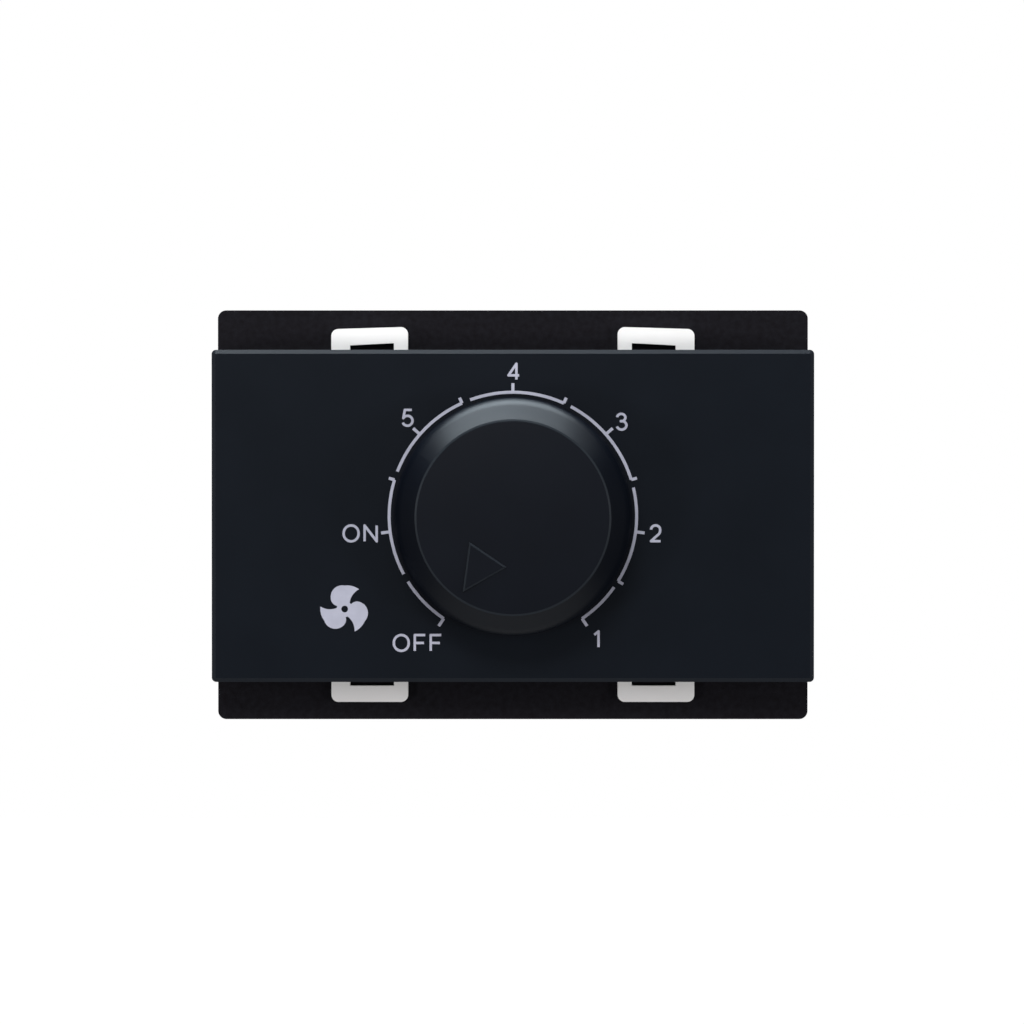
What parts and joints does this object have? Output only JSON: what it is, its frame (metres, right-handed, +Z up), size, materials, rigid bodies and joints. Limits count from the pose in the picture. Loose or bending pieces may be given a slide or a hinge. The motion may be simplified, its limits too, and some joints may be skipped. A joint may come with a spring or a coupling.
{
  "type": "fan speed control switch",
  "caption": "Flush-mounted rotary fan speed control with a round knob, printed dial, black cover, white clip loops and a black rear box.",
  "frame": {"origin": "on the knob's axis, in the plane of the flange's back, which seats on the mounting frame", "axes": "+X to the right along the long side, +Y into the wall along the knob's axis, +Z up; the face looks to -Y"},
  "size_m": [0.068, 0.0506, 0.0468],
  "materials": {
    "cover_black": "fine satin, moulded",
    "housing_black": "fine matte texture, moulded",
    "knob_black": "satin, moulded",
    "print_grey": "pad-printed ink",
    "frame_white": "satin, moulded",
    "zinc_steel": "zinc plated",
    "tin_sheet": "tinned sheet",
    "spring_steel": "blued spring steel",
    "shaft_plastic": "natural moulded",
    "brass": "turned",
    "die_cast": "die cast",
    "sink_aluminium": "rolled sheet",
    "phenolic": "punched laminate",
    "carbon_track": "printed carbon ink",
    "switch_black": "thermoset moulding",
    "cam_white": "moulded acetal",
    "board_laminate": "copper-clad laminate",
    "epoxy_black": "moulded epoxy",
    "ferrite": "coated iron powder",
    "copper_wire": "enamelled copper",
    "cap_yellow": "boxed film capacitor",
    "cap_red": "boxed film capacitor",
    "resistor_tan": "lacquered",
    "diac_blue": "glass-like lacquer",
    "fuse_ceramic": "ceramic",
    "terminal_green": "moulded polyamide"
  },
  "bodies": {
    "switch_body": {"front_cover": "cover_black", "dial_print": "print_grey", "carrier_frame": "frame_white", "rear_housing": "housing_black", "housing_screws": "zinc_steel", "pot_bushing": "die_cast", "pot_washer": "zinc_steel", "pot_nut": "brass", "pot_case": "tin_sheet", "pot_wafer": "phenolic", "resistance_track": "carbon_track", "pot_terminals": "tin_sheet", "switch_cup": "switch_black", "switch_cover": "phenolic", "contact_leaf": "brass", "contact_post": "brass", "circuit_board": "board_laminate", "board_screws": "zinc_steel", "triac": "epoxy_black", "heat_sink": "sink_aluminium", "heat_sink_screw": "zinc_steel", "heat_sink_nut": "zinc_steel", "choke_core": "ferrite", "choke_winding": "copper_wire", "suppression_capacitor": "cap_yellow", "timing_capacitor": "cap_red", "snubber_capacitor": "cap_red", "timing_resistor": "resistor_tan", "snubber_resistor": "resistor_tan", "diac": "diac_blue", "fuse": "fuse_ceramic", "terminal_block": "terminal_green", "terminal_cages": "brass", "terminal_screws": "zinc_steel"},
    "knob": {"knob": "knob_black", "pot_shaft": "shaft_plastic", "shaft_clip": "spring_steel", "pot_rotor": "phenolic", "wiper_spring": "brass", "switch_cam": "cam_white"}
  },
  "joints": [
    {"name": "knob_turn", "type": "hinge", "parent": "switch_body", "child": "knob", "pos_m": [0, 0, 0], "axis": [0, 1, 0], "range_deg": [0, 292]}
  ]
}
